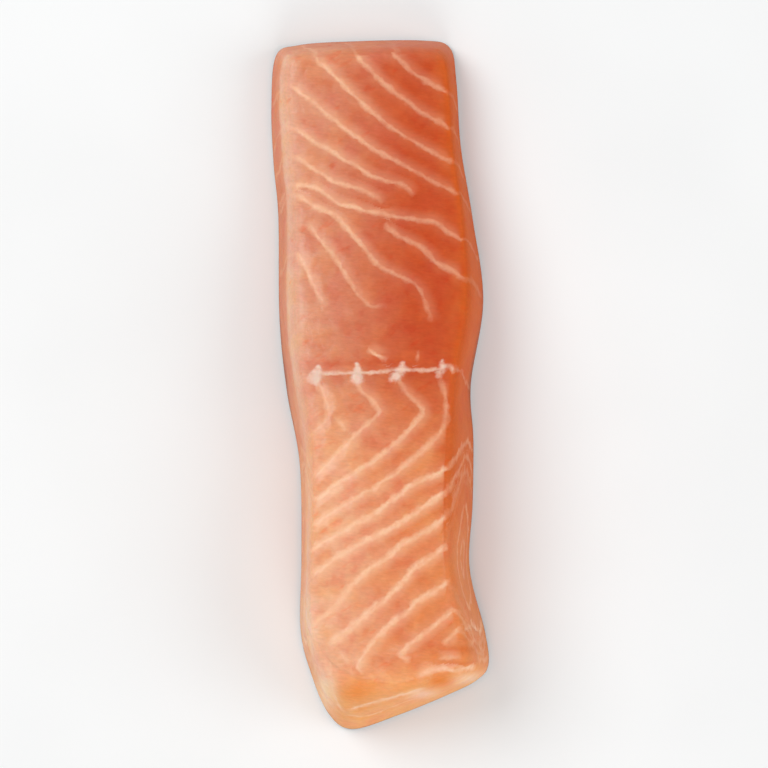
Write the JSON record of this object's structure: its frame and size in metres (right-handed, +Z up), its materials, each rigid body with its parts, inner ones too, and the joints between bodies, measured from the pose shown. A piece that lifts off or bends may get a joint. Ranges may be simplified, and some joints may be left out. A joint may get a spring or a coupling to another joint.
{
  "type": "raw salmon fillet",
  "caption": "Raw boneless salmon fillet portion, skin on: a long slab cut across the side of the fish, thick at the back end and thin at the belly end.",
  "frame": {"origin": "middle of the bounding box on the table that the skin side lies on", "axes": "+X along the fish, +Y along the portion from its thick back end to its thin belly end, +Z up from the skin to the bone side of the flesh"},
  "size_m": [0.0448, 0.15, 0.0272],
  "materials": {
    "flesh": "moist raw salmon flesh, orange pink with pale sheets of connective tissue",
    "skin": "moist silver fish skin with overlapping scales, darker towards the back"
  },
  "bodies": {
    "root": {"fillet": "flesh"}
  },
  "joints": []
}
